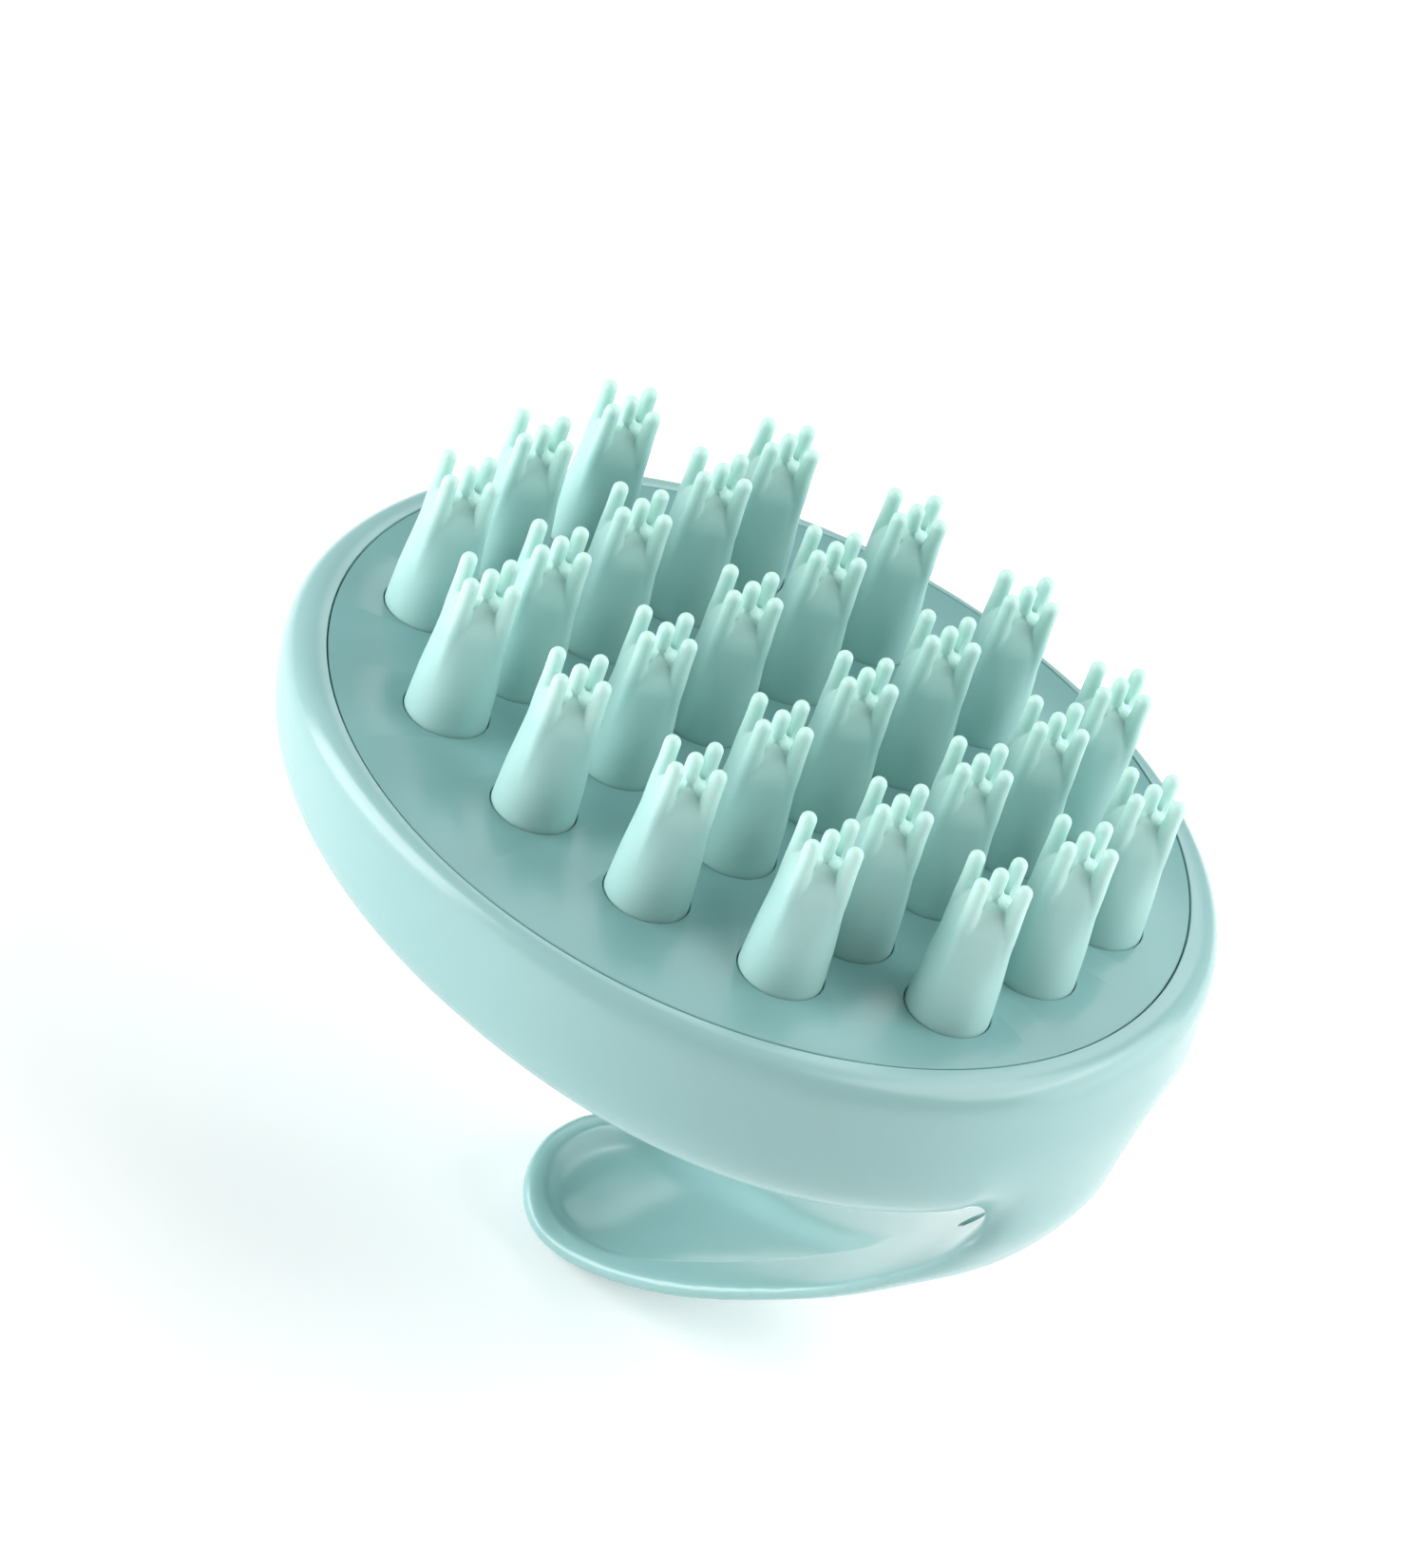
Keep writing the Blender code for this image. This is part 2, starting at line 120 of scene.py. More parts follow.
# Bristle places in one quarter of the plate
BRISTLE_QUARTER = (
    (0.0072, 0.0),
    (0.0213, 0.0),
    (0.0340, 0.0),
    (0.0072, 0.01275),
    (0.0212, 0.0120),
    (0.0330, 0.0119),
    (0.0071, 0.0253),
    (0.02105, 0.0222),
)
ROW_STEP = 0.006

# Bristle: a foot behind the plate, and a tapered column with four flattened faces, a dome, webs and pins
FOOT_RADIUS, FOOT_TOP, FOOT_THICK, FOOT_OVERLAP = 0.0049, -0.0023, 0.0012, 0.0002
BASE_RADIUS, SHOULDER_RADIUS, SHOULDER_HEIGHT, DOME_HEIGHT = 0.00405, 0.00350, 0.0102, 0.0136
TAPER_END = 1.15
FLAT_DEPTH, FLAT_START, FLAT_FADE = 0.00042, 0.0035, 0.0075
DOME_EARLY, DOME_SIDE_POWER, DOME_RISE_POWER, DOME_ROOT = 0.0004, 2.3, 2.0, 2.2
WEB_HALF, WEB_TOP, WEB_REACH, WEB_SLOPE = 0.00050, 0.01415, 0.002, 0.1
PIN_RADIUS, PIN_OFFSET, PIN_BOTTOM, PIN_TOP = 0.00078, 0.00282, 0.004, 0.0165
PIN_SIDES = ((0, 0), (1, 0), (-1, 0), (0, 1), (0, -1))
RIB_EXTRA, RIB_END, RIB_FADE = 0.00012, 0.0022, 0.004
BRISTLE_BLEND = 0.00018
BRISTLE_VOXEL = 0.00026
SEED_COLUMN_SIDES, SEED_PIN_SIDES, SEED_PIN_BOTTOM = 64, 16, 0.006
SEED_CAP_TURNS = (0.5, 1.0, 1.4)
SETTLE_ROUNDS, SETTLE_STEP, SETTLE_LEAST_SLOPE = 5, 1e-6, 0.1

# Materials
SHARP_ANGLE = 38
DRIFT_SCALE, GLOSS_SCALE = 45.0, 160.0
NOISE_LOW, NOISE_HIGH = 0.2, 0.8
GRAIN_DETAIL, GRAIN_HEIGHT = 2.0, 0.0001
# Heights over which the bristles' colour turns lighter: painted light, a glow of the light that passes
# through the thin silicone
TIP_GLOW_START, TIP_GLOW_FULL = 0.0095, 0.0155

# Studio: name, azimuth, elevation, distance and watts of each light
LIGHTS = (
    ("key", -140, 12, 0.7, 7.7),
    ("side", 38, 14, 0.7, 2.6),
    ("top", 25, 50, 0.7, 3.8),
    ("front", -62, 2, 0.8, 0.8),
    ("back", 110, 48, 0.8, 2.5),
)
LIGHT_SIZE = 0.6
LIGHT_AIM = Vector((0, 0, 0.045))
WORLD_STRENGTH = 0.06
FLOOR_HALF, FLOOR_DROP, FLOOR_GREY, FLOOR_ROUGHNESS, FLOOR_GLOW = 20.0, 0.0002, 0.9, 0.9, 0.25

# Camera, by the point that it looks at
VIEW_AIM = Vector((-0.0024, -0.0035, FACE_HEIGHT - 0.0028))
VIEW_DISTANCE = 0.660
VIEW_AZIMUTH, VIEW_ELEVATION, VIEW_ROLL = -61.68, 35.32, 20.2
LENS, SENSOR = 161.86, 36.0


def link(obj):
    bpy.context.scene.collection.objects.link(obj)
    return obj


def drop(obj):
    bpy.data.objects.remove(obj, do_unlink=True)


def baked(obj):
    """Applies the object's modifiers."""
    graph = bpy.context.evaluated_depsgraph_get()
    mesh = bpy.data.meshes.new_from_object(obj.evaluated_get(graph))
    obj.modifiers.clear()
    obj.data = mesh
    return obj


def boolean(target, cutter, operation="DIFFERENCE"):
    modifier = target.modifiers.new("boolean", "BOOLEAN")
    modifier.operation = operation
    modifier.solver = "MANIFOLD"
    modifier.object = cutter
    baked(target)
    drop(cutter)
    return target


def remeshed(obj, voxel):
    modifier = obj.modifiers.new("remesh", "REMESH")
    modifier.mode = "VOXEL"
    modifier.voxel_size = voxel
    return baked(obj)


def points_of(obj):
    points = np.empty(len(obj.data.vertices) * 3)
    obj.data.vertices.foreach_get("co", points)
    return points.reshape(-1, 3)


def set_points(obj, points):
    obj.data.vertices.foreach_set("co", points.ravel())
    obj.data.update()


def tree_of(obj):
    bm = bmesh.new()
    bm.from_mesh(obj.data)
    tree = BVHTree.FromBMesh(bm)
    bm.free()
    return tree


def nearest(tree, points):
    """Nearest place on a surface to each point."""
    return np.array([tree.find_nearest(point)[0] for point in points])


def smoothed(obj, points, weight, rounds):
    """Moves points towards the mean of their neighbours, by their weight, a number of times."""
    ends = np.empty(len(obj.data.edges) * 2, dtype=np.int64)
    obj.data.edges.foreach_get("vertices", ends)
    one, two = ends.reshape(-1, 2)[(weight[ends] > 0).reshape(-1, 2).any(axis=1)].T
    count = np.bincount(one, minlength=len(points)) + np.bincount(two, minlength=len(points))
    count = np.maximum(count, 1)[:, None]
    for _ in range(rounds):
        total = np.zeros_like(points)
        for axis in range(3):
            total[:, axis] = np.bincount(one, points[two, axis], len(points))
            total[:, axis] += np.bincount(two, points[one, axis], len(points))
        points = points + weight[:, None] * (total / count - points)
    return points


def power(value, exponent):
    return np.sign(value) * np.abs(value) ** exponent


def smooth_step(value):
    value = np.clip(value, 0.0, 1.0)
    return value * value * (3 - 2 * value)


def blended(first, second, size):
    """Smaller of two distances, with a fillet where they meet."""
    share = np.clip(0.5 + 0.5 * (second - first) / size, 0.0, 1.0)
    return second + share * (first - second) - size * share * (1 - share)


def circle(sides):
    turns = np.arange(sides) * (2 * math.pi / sides)
    return np.cos(turns), np.sin(turns)


def oval(half_x, half_y, z, centre_x=0.0, sides=256, square=2.0):
    cos, sin = circle(sides)
    x = centre_x + half_x * power(cos, 2 / square)
    y = half_y * power(sin, 2 / square)
    return np.stack((x, y, np.full(sides, z)), axis=1)


def disc(radius, z, sides):
    return oval(radius, radius, z, sides=sides)


def loft(name, rings):
    """Closed mesh object through rings of points, with a fan of triangles over each end."""
    count = len(rings[0])
    points = np.concatenate([*rings, rings[0].mean(axis=0)[None], rings[-1].mean(axis=0)[None]])
    foot, head = len(points) - 2, len(points) - 1
    faces = []
    for i in range(count):
        j = (i + 1) % count
        for low in range(0, count * (len(rings) - 1), count):
            faces.append((low + i, low + j, low + count + j, low + count + i))
        faces.append((foot, j, i))
        faces.append((head, foot - count + i, foot - count + j))
    mesh = bpy.data.meshes.new(name)
    mesh.from_pydata(points.tolist(), [], faces)
    bm = bmesh.new()
    bm.from_mesh(mesh)
    bmesh.ops.recalc_face_normals(bm, faces=bm.faces)
    bm.to_mesh(mesh)
    bm.free()
    return link(bpy.data.objects.new(name, mesh))


def tilted(ring):
    ring[:, 2] *= 1 + BOWL_TILT * ring[:, 0]
    return ring


def rim_ring(turn):
    """Ring of the rim from the opening (turn 0) round to the widest line (turn 1)."""
    angle = turn * math.pi / 2
    out = math.sin(angle) ** (2 / RIM_POWER)
    down = 1 - math.cos(angle) ** (2 / RIM_POWER)
    square = 2 + (OUTLINE_POWER - 2) * out
    half_x = PLATE_HALF_X + RIM_OUT_X * out
    half_y = PLATE_HALF_Y + RIM_OUT_Y * out
    return tilted(oval(half_x, half_y, -RIM_DROP * down, square=square))


def bowl_ring(part, inset=0.0):
    """Ring of the bowl from its widest line (part 0) to the bottom (part 1), moved inwards by the inset."""
    size = (1 - part**BOWL_POWER) ** (1 / BOWL_ROUND)
    half_x = (PLATE_HALF_X + RIM_OUT_X - inset) * size
    half_y = (PLATE_HALF_Y + RIM_OUT_Y - inset) * size
    depth = RIM_DROP + part * (BOWL_DEPTH - inset - RIM_DROP)
    return tilted(oval(half_x, half_y, -depth, BOWL_SHIFT * part**BOWL_SHIFT_POWER, square=OUTLINE_POWER))


def make_bowl():
    parts = 1 - np.linspace(1.0, 0.0, BOWL_STEPS)[1:-1] ** BOWL_CROWDING
    rings = [rim_ring(turn) for turn in np.linspace(0.0, 1.0, RIM_STEPS)]
    rings += [bowl_ring(part) for part in (*parts, *BOWL_LAST_PARTS)]
    return loft("bowl", rings)


def spline(column, at):
    """Value of a column of the stations at any place along the handle, through every station."""
    values = HANDLE_STATIONS[:, column]
    i = min(int(at), LAST_STATION - 1)
    t = at - i
    before = values[i - 1] if i > 0 else 2 * values[0] - values[1]
    after = values[i + 2] if i + 2 <= LAST_STATION else 2 * values[-1] - values[-2]
    start, end = values[i], values[i + 1]
    slope_a, slope_b = (end - before) / 2, (after - start) / 2
    return (
        (2 * t**3 - 3 * t**2 + 1) * start
        + (t**3 - 2 * t**2 + t) * slope_a
        + (3 * t**2 - 2 * t**3) * end
        + (t**3 - t**2) * slope_b
    )


def handle_frame(at):
    """Middle of the handle's front face and the direction out of it."""
    low, high = max(at - TANGENT_STEP, 0.0), at + TANGENT_STEP
    middle = np.array((spline(0, at), 0.0, spline(1, at)))
    along = np.array((spline(0, high) - spline(0, low), 0.0, spline(1, high) - spline(1, low)))
    along /= np.linalg.norm(along)
    return middle, np.array((along[2], 0.0, -along[0]))


def dish_depth(at, y):
    """Depth of the finger dish below the handle's front: a soft wall inside its rim, then a hollow floor."""
    close = max(0.0, (at - (LAST_STATION - TIP_ROUND)) / (TIP_ROUND - DISH_TIP_RIM))
    half = spline(2, at) - DISH_RIM
    reach = (np.abs(y / half) ** DISH_TIP_POWER + close**DISH_TIP_POWER) ** (1 / DISH_TIP_POWER)
    from_rim = (1 - reach) * DISH_RIM_SLOPE * half
    from_arms = (DISH_WIDEN * (at - DISH_START) - np.abs(y)) * DISH_ARM_SLOPE
    inside = blended(from_rim, from_arms, DISH_CORNER)
    floor = np.clip(inside / DISH_FLOOR, 0.0, 1.0)
    return DISH_WALL_DEPTH * smooth_step(inside / DISH_WALL) + DISH_FLOOR_DEPTH * (1 - (1 - floor) ** 2)


def handle_ring(at):
    """One cross-section of the handle, its front hollowed by the finger dish."""
    half_width, thick = spline(2, at), spline(3, at)
    close = max(0.0, (at - (LAST_STATION - TIP_ROUND)) / TIP_ROUND)
    half_width *= math.sqrt(1 - close**TIP_WIDTH_POWER)
    thin = math.sqrt(1 - close**TIP_THICK_POWER)
    front = thick * FRONT_PART
    pad = min(1.0, max(0.0, (at - PAD_START) / (PAD_FULL - PAD_START)))
    curve = NECK_POWER + (PAD_POWER - NECK_POWER) * pad
    middle, up = handle_frame(at)
    cos, sin = circle(HANDLE_SIDES)
    y = half_width * power(cos, curve)
    rise = power(sin, curve)
    lift = rise * thin * np.where(rise > 0, front, thick - front) - front
    lift -= np.where(rise > 0, dish_depth(at, y) * thin, 0.0)
    ring = middle + np.outer(lift, up)
    ring[:, 1] += y
    return ring


def make_handle():
    tip_start = LAST_STATION - TIP_ROUND
    along = np.linspace(0, tip_start, HANDLE_STEPS)[:-1]
    tip = LAST_STATION - TIP_ROUND * np.linspace(1, TIP_LAST, TIP_STEPS) ** 2
    return loft("handle", [handle_ring(at) for at in (*along, *tip)])


def join_smoothly(bowl, handle):
    """One even mesh of bowl and handle, with a fillet where both surfaces are near."""
    bowl_tree, handle_tree = tree_of(bowl), tree_of(handle)
    shell = boolean(bowl, handle, "UNION")
    shell.name = "shell_body"
    shell_tree = tree_of(shell)
    remeshed(shell, SHELL_VOXEL)
    points = points_of(shell)
    everywhere = np.ones(len(points))
    for _ in range(EVEN_ROUNDS):
        points = nearest(shell_tree, smoothed(shell, points, everywhere * EVEN_WEIGHT, EVEN_PASSES))

    from_bowl = np.linalg.norm(points - nearest(bowl_tree, points), axis=1)
    from_handle = np.linalg.norm(points - nearest(handle_tree, points), axis=1)
    weight = smooth_step(BLEND_GAIN * (1 - np.maximum(from_bowl, from_handle) / BLEND))
    weight *= smooth_step((BLEND_TOP - points[:, 2]) / BLEND_FADE)
    points = smoothed(shell, points, weight, BLEND_ROUNDS)
    set_points(shell, smoothed(shell, points, everywhere * SOFTEN_WEIGHT, SOFTEN_ROUNDS))
    return shell


def hollow_cutter():
    """Seat of the face plate, its ledge, and the cavity behind it."""
    edge = (*SEAT_CHAMFER, (0.0, -SEAT_DEPTH))
    rings = [oval(PLATE_HALF_X + out, PLATE_HALF_Y + out, z) for out, z in edge]
    for z in (-SEAT_DEPTH, -SEAT_DEPTH - LEDGE_THICK):
        rings.append(oval(PLATE_HALF_X - LEDGE_WIDTH, PLATE_HALF_Y - LEDGE_WIDTH, z))
    rings += [bowl_ring(part, WALL) for part in CAVITY_PARTS]
    return loft("hollow", rings)


def hole_cutter():
    """Hanging hole with a rounded lip on both faces of the neck."""
    middle, up = handle_frame(HOLE_STATION)
    depth = spline(3, HOLE_STATION)
    profile = [(HOLE_RADIUS + HOLE_MOUTH_OUT, HOLE_MOUTH_UP)]
    for turn in np.linspace(1, 0, LIP_STEPS):
        profile.append((HOLE_RADIUS + HOLE_LIP * (1 - math.sqrt(1 - turn**2)), -HOLE_LIP * (1 - turn)))
    profile += [(radius, -depth - z) for radius, z in reversed(profile)]
    hole = loft("hole", [disc(radius, z, HOLE_SIDES) for radius, z in profile])
    turned = Vector(up).to_track_quat("Z", "Y").to_matrix().to_4x4()
    hole.data.transform(Matrix.Translation(middle) @ turned)
    return hole


def stand_cutter():
    """Block below the flat that the brush stands on."""
    heights = (-FACE_HEIGHT - STAND_CUT_Z, -FACE_HEIGHT)
    return loft("stand", [oval(STAND_CUT_X, STAND_CUT_Y, z, sides=STAND_CUT_SIDES) for z in heights])


def make_shell():
    shell = join_smoothly(make_bowl(), make_handle())
    for cutter in (hollow_cutter(), hole_cutter(), stand_cutter()):
        boolean(shell, cutter)
    return shell


def bristle_spots():
    spots = {(sx * x, sy * y) for x, y in BRISTLE_QUARTER for sx in (1, -1) for sy in (1, -1)}
    return sorted(spots, key=lambda spot: (round(spot[1] / ROW_STEP), spot[0]))


def make_plate():
    """Face plate with rounded top edges and a hole for each bristle."""
    half_x, half_y = PLATE_HALF_X - PLATE_GAP, PLATE_HALF_Y - PLATE_GAP
    rings = [oval(half_x, half_y, -PLATE_THICK)]
    for turn in np.linspace(0, 1, PLATE_ROUND_STEPS):
        inset = PLATE_ROUND * (1 - math.sqrt(1 - turn**2))
        rings.append(oval(half_x - inset, half_y - inset, -PLATE_ROUND * (1 - turn)))
    plate = loft("plate_body", rings)

    radius = BASE_RADIUS + PLATE_GAP
    profile = (
        (radius, -PLATE_HOLE_DEPTH),
        (radius, -PLATE_ROUND),
        (radius + PLATE_ROUND * 0.4, -PLATE_ROUND * 0.3),
        (radius + PLATE_ROUND * 2, PLATE_ROUND * 1.5),
    )
    holes = bpy.data.meshes.new("holes")
    bm = bmesh.new()
    for x, y in bristle_spots():
        tube = loft("hole", [disc(r, z, PLATE_HOLE_SIDES) for r, z in profile])
        tube.data.transform(Matrix.Translation((x, y, 0)))
        bm.from_mesh(tube.data)
        drop(tube)
    bm.to_mesh(holes)
    bm.free()
    return boolean(plate, link(bpy.data.objects.new("holes", holes)))


def column_field(x, y, z):
    """Signed distance from the tapered column, its dome and the webs between the pins."""
    radial = np.hypot(x, y)
    level = np.clip(z / SHOULDER_HEIGHT, 0.0, TAPER_END)
    diagonal = (1 - np.cos(4 * np.arctan2(y, x))) / 2
    radius = BASE_RADIUS + (SHOULDER_RADIUS - BASE_RADIUS) * level
    radius = radius - FLAT_DEPTH * diagonal * smooth_step((z - FLAT_START) / FLAT_FADE)
    dome_start = SHOULDER_HEIGHT - DOME_EARLY
    rise = np.maximum(0.0, z - dome_start) / (DOME_HEIGHT - dome_start)
    column = (radial / radius) ** DOME_SIDE_POWER + rise**DOME_RISE_POWER
    column = (column ** (1 / DOME_ROOT) - 1) * radius
    column = np.maximum(column, FOOT_TOP - FOOT_OVERLAP - z)
    web = np.maximum(np.minimum(np.abs(x), np.abs(y)) - WEB_HALF, radial - PIN_OFFSET)
    web = np.maximum(web, np.abs(z - WEB_TOP + WEB_REACH) - WEB_REACH + WEB_SLOPE * radial)
    return blended(column, web, BRISTLE_BLEND)


def foot_field(x, y, z):
    radial = np.hypot(x, y)
    past = np.stack((radial - FOOT_RADIUS, np.abs(z - FOOT_TOP + FOOT_THICK / 2) - FOOT_THICK / 2))
    return np.linalg.norm(np.maximum(past, 0), axis=0) + np.minimum(past.max(axis=0), 0)


def pins_field(x, y, z):
    """Signed distance from the pins, which are thicker where they run down the column as ribs."""
    radius = PIN_RADIUS + RIB_EXTRA * smooth_step((PIN_TOP - RIB_END - z) / RIB_FADE)
    up = np.clip(z, PIN_BOTTOM, PIN_TOP - PIN_RADIUS)
    centres = [(i * PIN_OFFSET, j * PIN_OFFSET) for i, j in PIN_SIDES]
    gaps = [np.sqrt((x - px) ** 2 + (y - py) ** 2 + (z - up) ** 2) for px, py in centres]
    return np.min(gaps, axis=0) - radius


def bristle_field(points):
    """Signed distance from one bristle."""
    x, y, z = points.T
    body = blended(column_field(x, y, z), pins_field(x, y, z), BRISTLE_BLEND)
    return np.minimum(body, foot_field(x, y, z))


def settled(points, field):
    """Moves points onto the zero level of a field."""
    steps = SETTLE_STEP * np.eye(3)
    for _ in range(SETTLE_ROUNDS):
        value = field(points)
        slopes = [(field(points + step) - field(points - step)) / (2 * SETTLE_STEP) for step in steps]
        slope = np.stack(slopes, axis=1)
        size = np.maximum((slope**2).sum(axis=1), SETTLE_LEAST_SLOPE)
        points = points - slope * (value / size)[:, None]
    return points


def make_bristle_mesh():
    """Rough bristle of lofts, remeshed and then moved onto the exact shape."""
    profile = (
        (FOOT_RADIUS, FOOT_TOP - FOOT_THICK),
        (FOOT_RADIUS, FOOT_TOP),
        (BASE_RADIUS, FOOT_TOP),
        (BASE_RADIUS, 0.0),
        (SHOULDER_RADIUS, SHOULDER_HEIGHT),
        (SHOULDER_RADIUS * 0.75, SHOULDER_HEIGHT + 0.0015),
        (SHOULDER_RADIUS * 0.3, DOME_HEIGHT - 0.0001),
    )
    body = loft("bristle", [disc(radius, z, SEED_COLUMN_SIDES) for radius, z in profile])
    cap = PIN_TOP - PIN_RADIUS
    profile = [(PIN_RADIUS, SEED_PIN_BOTTOM), (PIN_RADIUS, cap)]
    profile += [(PIN_RADIUS * math.cos(turn), cap + PIN_RADIUS * math.sin(turn)) for turn in SEED_CAP_TURNS]
    for i, j in PIN_SIDES:
        pin = loft("pin", [disc(radius, z, SEED_PIN_SIDES) for radius, z in profile])
        pin.data.transform(Matrix.Translation((i * PIN_OFFSET, j * PIN_OFFSET, 0)))
        boolean(body, pin, "UNION")
    remeshed(body, BRISTLE_VOXEL)
    set_points(body, settled(points_of(body), bristle_field))
    mesh = body.data
    drop(body)
    return mesh


def noise_value(nodes, links, coords, scale, low, high):
    """Smooth noise mapped to the range from low to high."""
    noise = nodes.new("ShaderNodeTexNoise")
    noise.inputs["Scale"].default_value = scale
    noise.inputs["Detail"].default_value = 0.0
    links.new(coords, noise.inputs["Vector"])
    spread = nodes.new("ShaderNodeMapRange")
    spread.inputs["From Min"].default_value = NOISE_LOW
    spread.inputs["From Max"].default_value = NOISE_HIGH
    spread.inputs["To Min"].default_value = low
    spread.inputs["To Max"].default_value = high
    links.new(noise.outputs["Fac"], spread.inputs["Value"])
    return spread.outputs["Result"]


def plastic(name, dark, light, rough, grain, bump):
    """Moulded plastic: slight colour drift, uneven gloss and a faint surface texture."""
    made = bpy.data.materials.new(name)
    made.use_nodes = True
    nodes, links = made.node_tree.nodes, made.node_tree.links
    shader = nodes["Principled BSDF"]
    coords = nodes.new("ShaderNodeTexCoord").outputs["Object"]

    mix = nodes.new("ShaderNodeMix")
    mix.data_type = "RGBA"
    mix.inputs["A"].default_value = (*dark, 1.0)
    mix.inputs["B"].default_value = (*light, 1.0)
    links.new(noise_value(nodes, links, coords, DRIFT_SCALE, 0.0, 1.0), mix.inputs["Factor"])
    links.new(mix.outputs["Result"], shader.inputs["Base Color"])
    links.new(noise_value(nodes, links, coords, GLOSS_SCALE, *rough), shader.inputs["Roughness"])

    height = nodes.new("ShaderNodeTexNoise")
    height.inputs["Scale"].default_value = grain
    height.inputs["Detail"].default_value = GRAIN_DETAIL
    links.new(coords, height.inputs["Vector"])
    relief = nodes.new("ShaderNodeBump")
    relief.inputs["Strength"].default_value = bump
    relief.inputs["Distance"].default_value = GRAIN_HEIGHT
    links.new(height.outputs["Fac"], relief.inputs["Height"])
    links.new(relief.outputs["Normal"], shader.inputs["Normal"])
    return made


def paint_thin_end_glow(look, glow_colour):
    """Painted light: blends the base colour towards a lighter one from the upper column up to the pins'
    ends, a painted glow of the light that passes through the thin silicone.
    """
    nodes, links = look.node_tree.nodes, look.node_tree.links
    base = nodes["Principled BSDF"].inputs["Base Color"]
    split = nodes.new("ShaderNodeSeparateXYZ")
    links.new(nodes.new("ShaderNodeTexCoord").outputs["Object"], split.inputs["Vector"])
    level = nodes.new("ShaderNodeMapRange")
    level.interpolation_type = "SMOOTHSTEP"
    level.inputs["From Min"].default_value = TIP_GLOW_START
    level.inputs["From Max"].default_value = TIP_GLOW_FULL
    links.new(split.outputs["Z"], level.inputs["Value"])
    mix = nodes.new("ShaderNodeMix")
    mix.data_type = "RGBA"
    mix.inputs["B"].default_value = (*glow_colour, 1.0)
    links.new(level.outputs["Result"], mix.inputs["Factor"])
    links.new(base.links[0].from_socket, mix.inputs["A"])
    links.new(mix.outputs["Result"], base)


def shader_of(look):
    return look.node_tree.nodes["Principled BSDF"].inputs


def linear(red, green, blue):
    """Linear colour of an sRGB colour given from 0 to 255."""
    parts = [value / 255 for value in (red, green, blue)]
    return tuple(p / 12.92 if p <= 0.04045 else ((p + 0.055) / 1.055) ** 2.4 for p in parts)


def shell_plastic():
    dark, light = linear(146, 187, 186), linear(151, 191, 190)
    return plastic("aqua_shell", dark, light, rough=(0.21, 0.26), grain=900.0, bump=0.03)


def plate_plastic():
    dark, light = linear(123, 170, 169), linear(129, 175, 174)
    return plastic("aqua_plate", dark, light, rough=(0.20, 0.255), grain=1100.0, bump=0.05)


def silicone():
    dark, light = linear(166, 207, 203), linear(172, 212, 208)
    look = plastic("aqua_silicone", dark, light, rough=(0.44, 0.52), grain=1600.0, bump=0.10)
    # Painted light: the upper column, dome and pins are made lighter for the light that passes through them
    paint_thin_end_glow(look, linear(196, 232, 224))
    shader_of(look)["Subsurface Weight"].default_value = 0.25
    shader_of(look)["Subsurface Radius"].default_value = (0.7, 1.0, 0.95)
    shader_of(look)["Subsurface Scale"].default_value = 0.0012
    return look


def retainer_plastic():
    dark, light = (0.70, 0.71, 0.70), (0.76, 0.77, 0.76)
    return plastic("retainer_plastic", dark, light, rough=(0.40, 0.50), grain=900.0, bump=0.05)


def steel():
    dark, light = (0.50, 0.51, 0.52), (0.62, 0.63, 0.64)
    look = plastic("screw_metal", dark, light, rough=(0.25, 0.35), grain=2500.0, bump=0.10)
    shader_of(look)["Metallic"].default_value = 1.0
    return look


def dress(obj, look):
    obj.data.materials.clear()
    obj.data.materials.append(look)
    obj.data.shade_smooth()
    obj.data.set_sharp_from_angle(angle=math.radians(SHARP_ANGLE))


def place(obj, x=0.0, y=0.0):
    obj.location = (FACE_CENTRE_X + x, y, FACE_HEIGHT)


def make_floor():
    side = FLOOR_HALF
    corners = [(-side, -side, 0), (side, -side, 0), (side, side, 0), (-side, side, 0)]
    mesh = bpy.data.meshes.new("floor")
    mesh.from_pydata(corners, [], [(0, 1, 2, 3)])
    look = bpy.data.materials.new("floor_white")
    look.use_nodes = True
    shader_of(look)["Base Color"].default_value = (FLOOR_GREY, FLOOR_GREY, FLOOR_GREY, 1)
    shader_of(look)["Emission Color"].default_value = (1, 1, 1, 1)
    shader_of(look)["Emission Strength"].default_value = FLOOR_GLOW
    shader_of(look)["Roughness"].default_value = FLOOR_ROUGHNESS
    mesh.materials.append(look)
    floor = link(bpy.data.objects.new("floor", mesh))
    floor.location.z = -FLOOR_DROP
    return floor


def direction(azimuth, elevation):
    a, e = math.radians(azimuth), math.radians(elevation)
    return Vector((math.cos(e) * math.cos(a), math.cos(e) * math.sin(a), math.sin(e)))


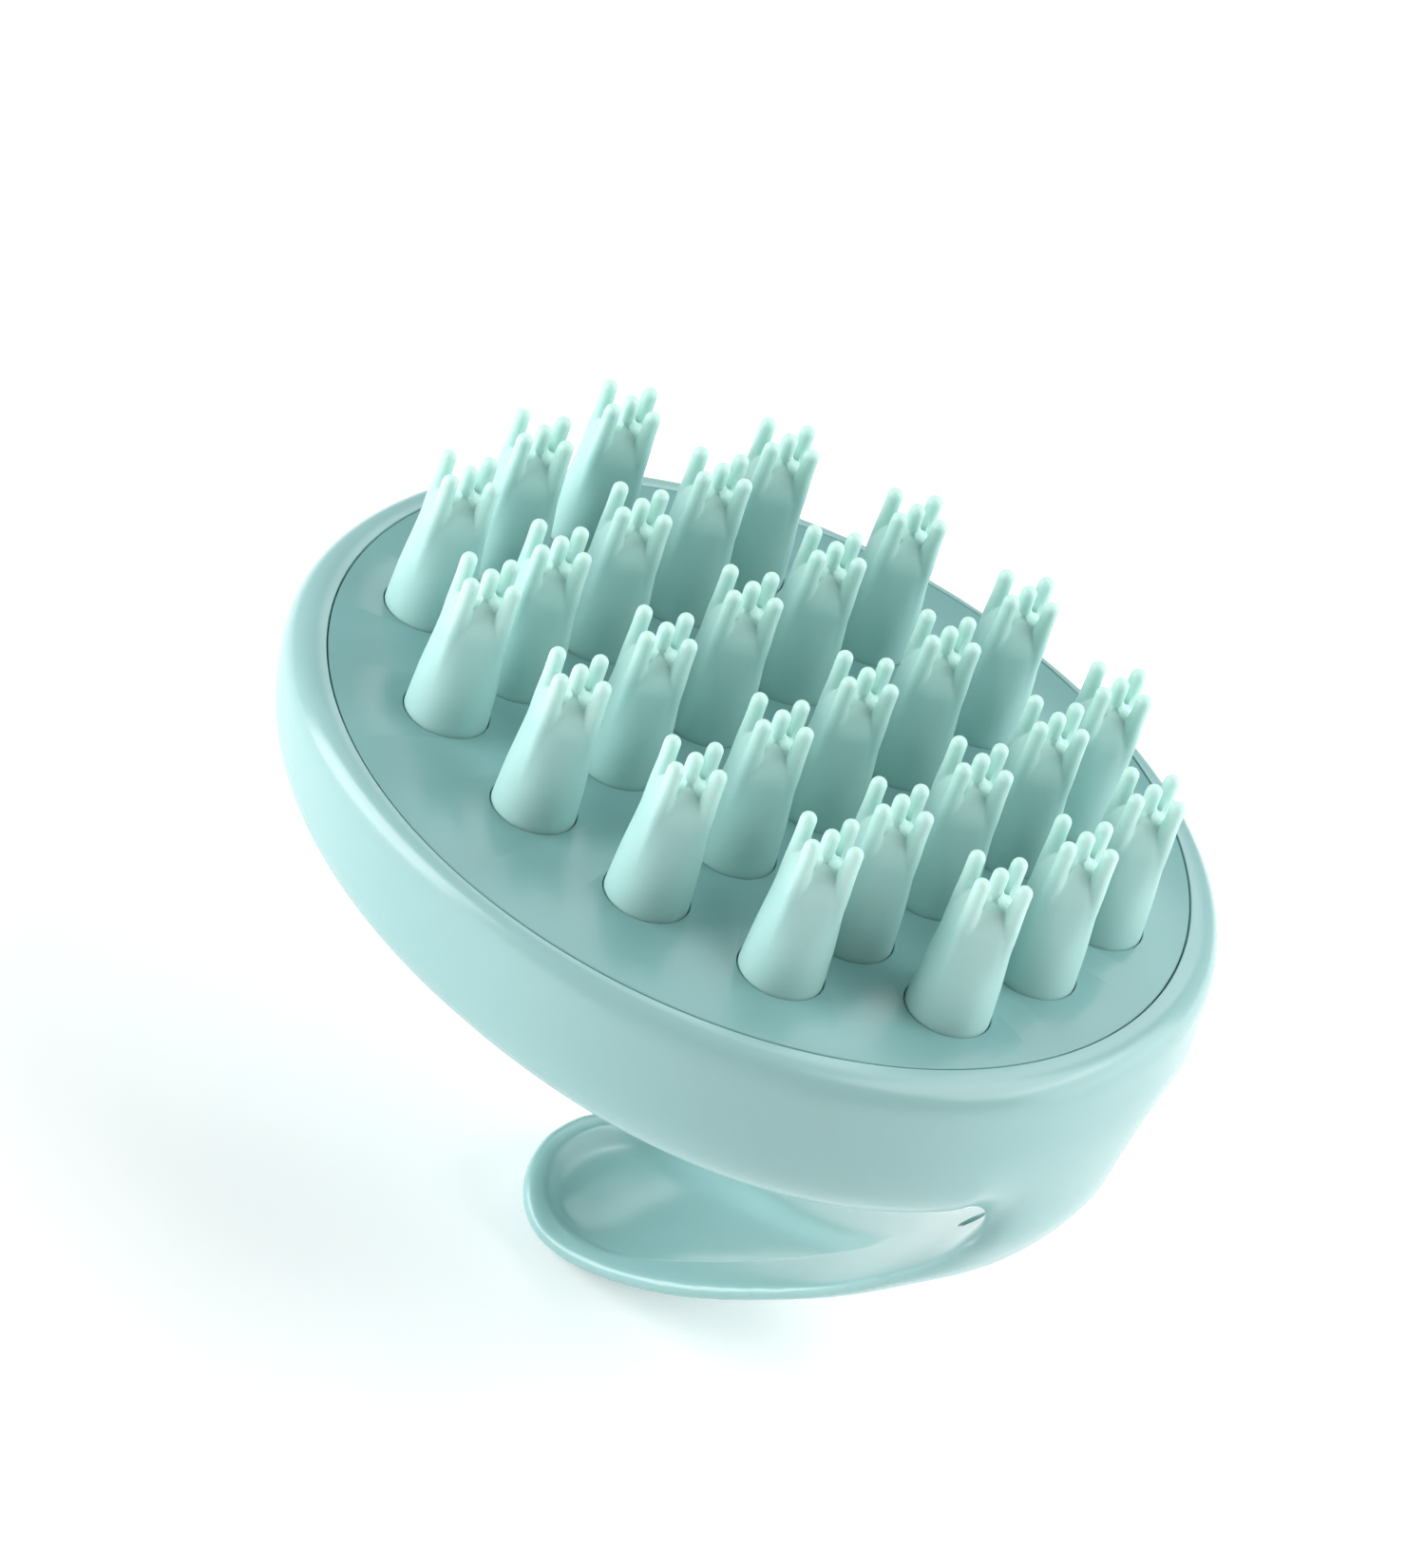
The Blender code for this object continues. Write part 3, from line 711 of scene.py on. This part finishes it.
def make_light(name, azimuth, elevation, distance, watts):
    """Soft light that looks at the brush from an azimuth and elevation in degrees."""
    data = bpy.data.lights.new(name, "AREA")
    data.size = LIGHT_SIZE
    data.energy = watts
    lamp = link(bpy.data.objects.new(name, data))
    away = direction(azimuth, elevation)
    lamp.location = LIGHT_AIM + away * distance
    lamp.rotation_euler = away.to_track_quat("Z", "Y").to_euler()


def make_world():
    world = bpy.data.worlds.new("studio")
    world.use_nodes = True
    background = world.node_tree.nodes["Background"].inputs
    background["Color"].default_value = (1, 1, 1, 1)
    background["Strength"].default_value = WORLD_STRENGTH
    return world


def make_camera():
    camera = link(bpy.data.objects.new("camera", bpy.data.cameras.new("camera")))
    camera.data.lens = LENS
    camera.data.sensor_width = SENSOR
    back = direction(VIEW_AZIMUTH, VIEW_ELEVATION)
    turn = back.to_track_quat("Z", "Y").to_matrix().to_4x4()
    roll = Matrix.Rotation(math.radians(VIEW_ROLL), 4, "Z")
    camera.matrix_world = Matrix.Translation(VIEW_AIM + back * VIEW_DISTANCE) @ turn @ roll
    return camera


# Pieces
shell_look = shell_plastic()
plate_look = plate_plastic()
bristle_look = silicone()
retainer_look = retainer_plastic()
screw_look = steel()

shell = make_shell()
dress(shell, shell_look)
place(shell)
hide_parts("shell")
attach(shell, "root")

plate = make_plate()
dress(plate, plate_look)
place(plate)
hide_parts("face_plate")
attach(plate, "root")

bristle_mesh = make_bristle_mesh()
for number, (x, y) in enumerate(bristle_spots(), start=1):
    post = link(bpy.data.objects.new(f"post_{number:02d}", bristle_mesh))
    dress(post, bristle_look)
    place(post, x, y)
    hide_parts(f"bristle_{number:02d}")
    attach(post, "root")

for name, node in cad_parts.items():
    if name == "bristle_retainer":
        node.material_slots[0].material = retainer_look
    elif name.startswith("retainer_screw"):
        node.material_slots[0].material = screw_look

# Studio
floor = make_floor()
for light in LIGHTS:
    make_light(*light)
bpy.context.scene.world = make_world()
bpy.context.scene.view_settings.view_transform = "Standard"
bpy.context.scene.camera = make_camera()
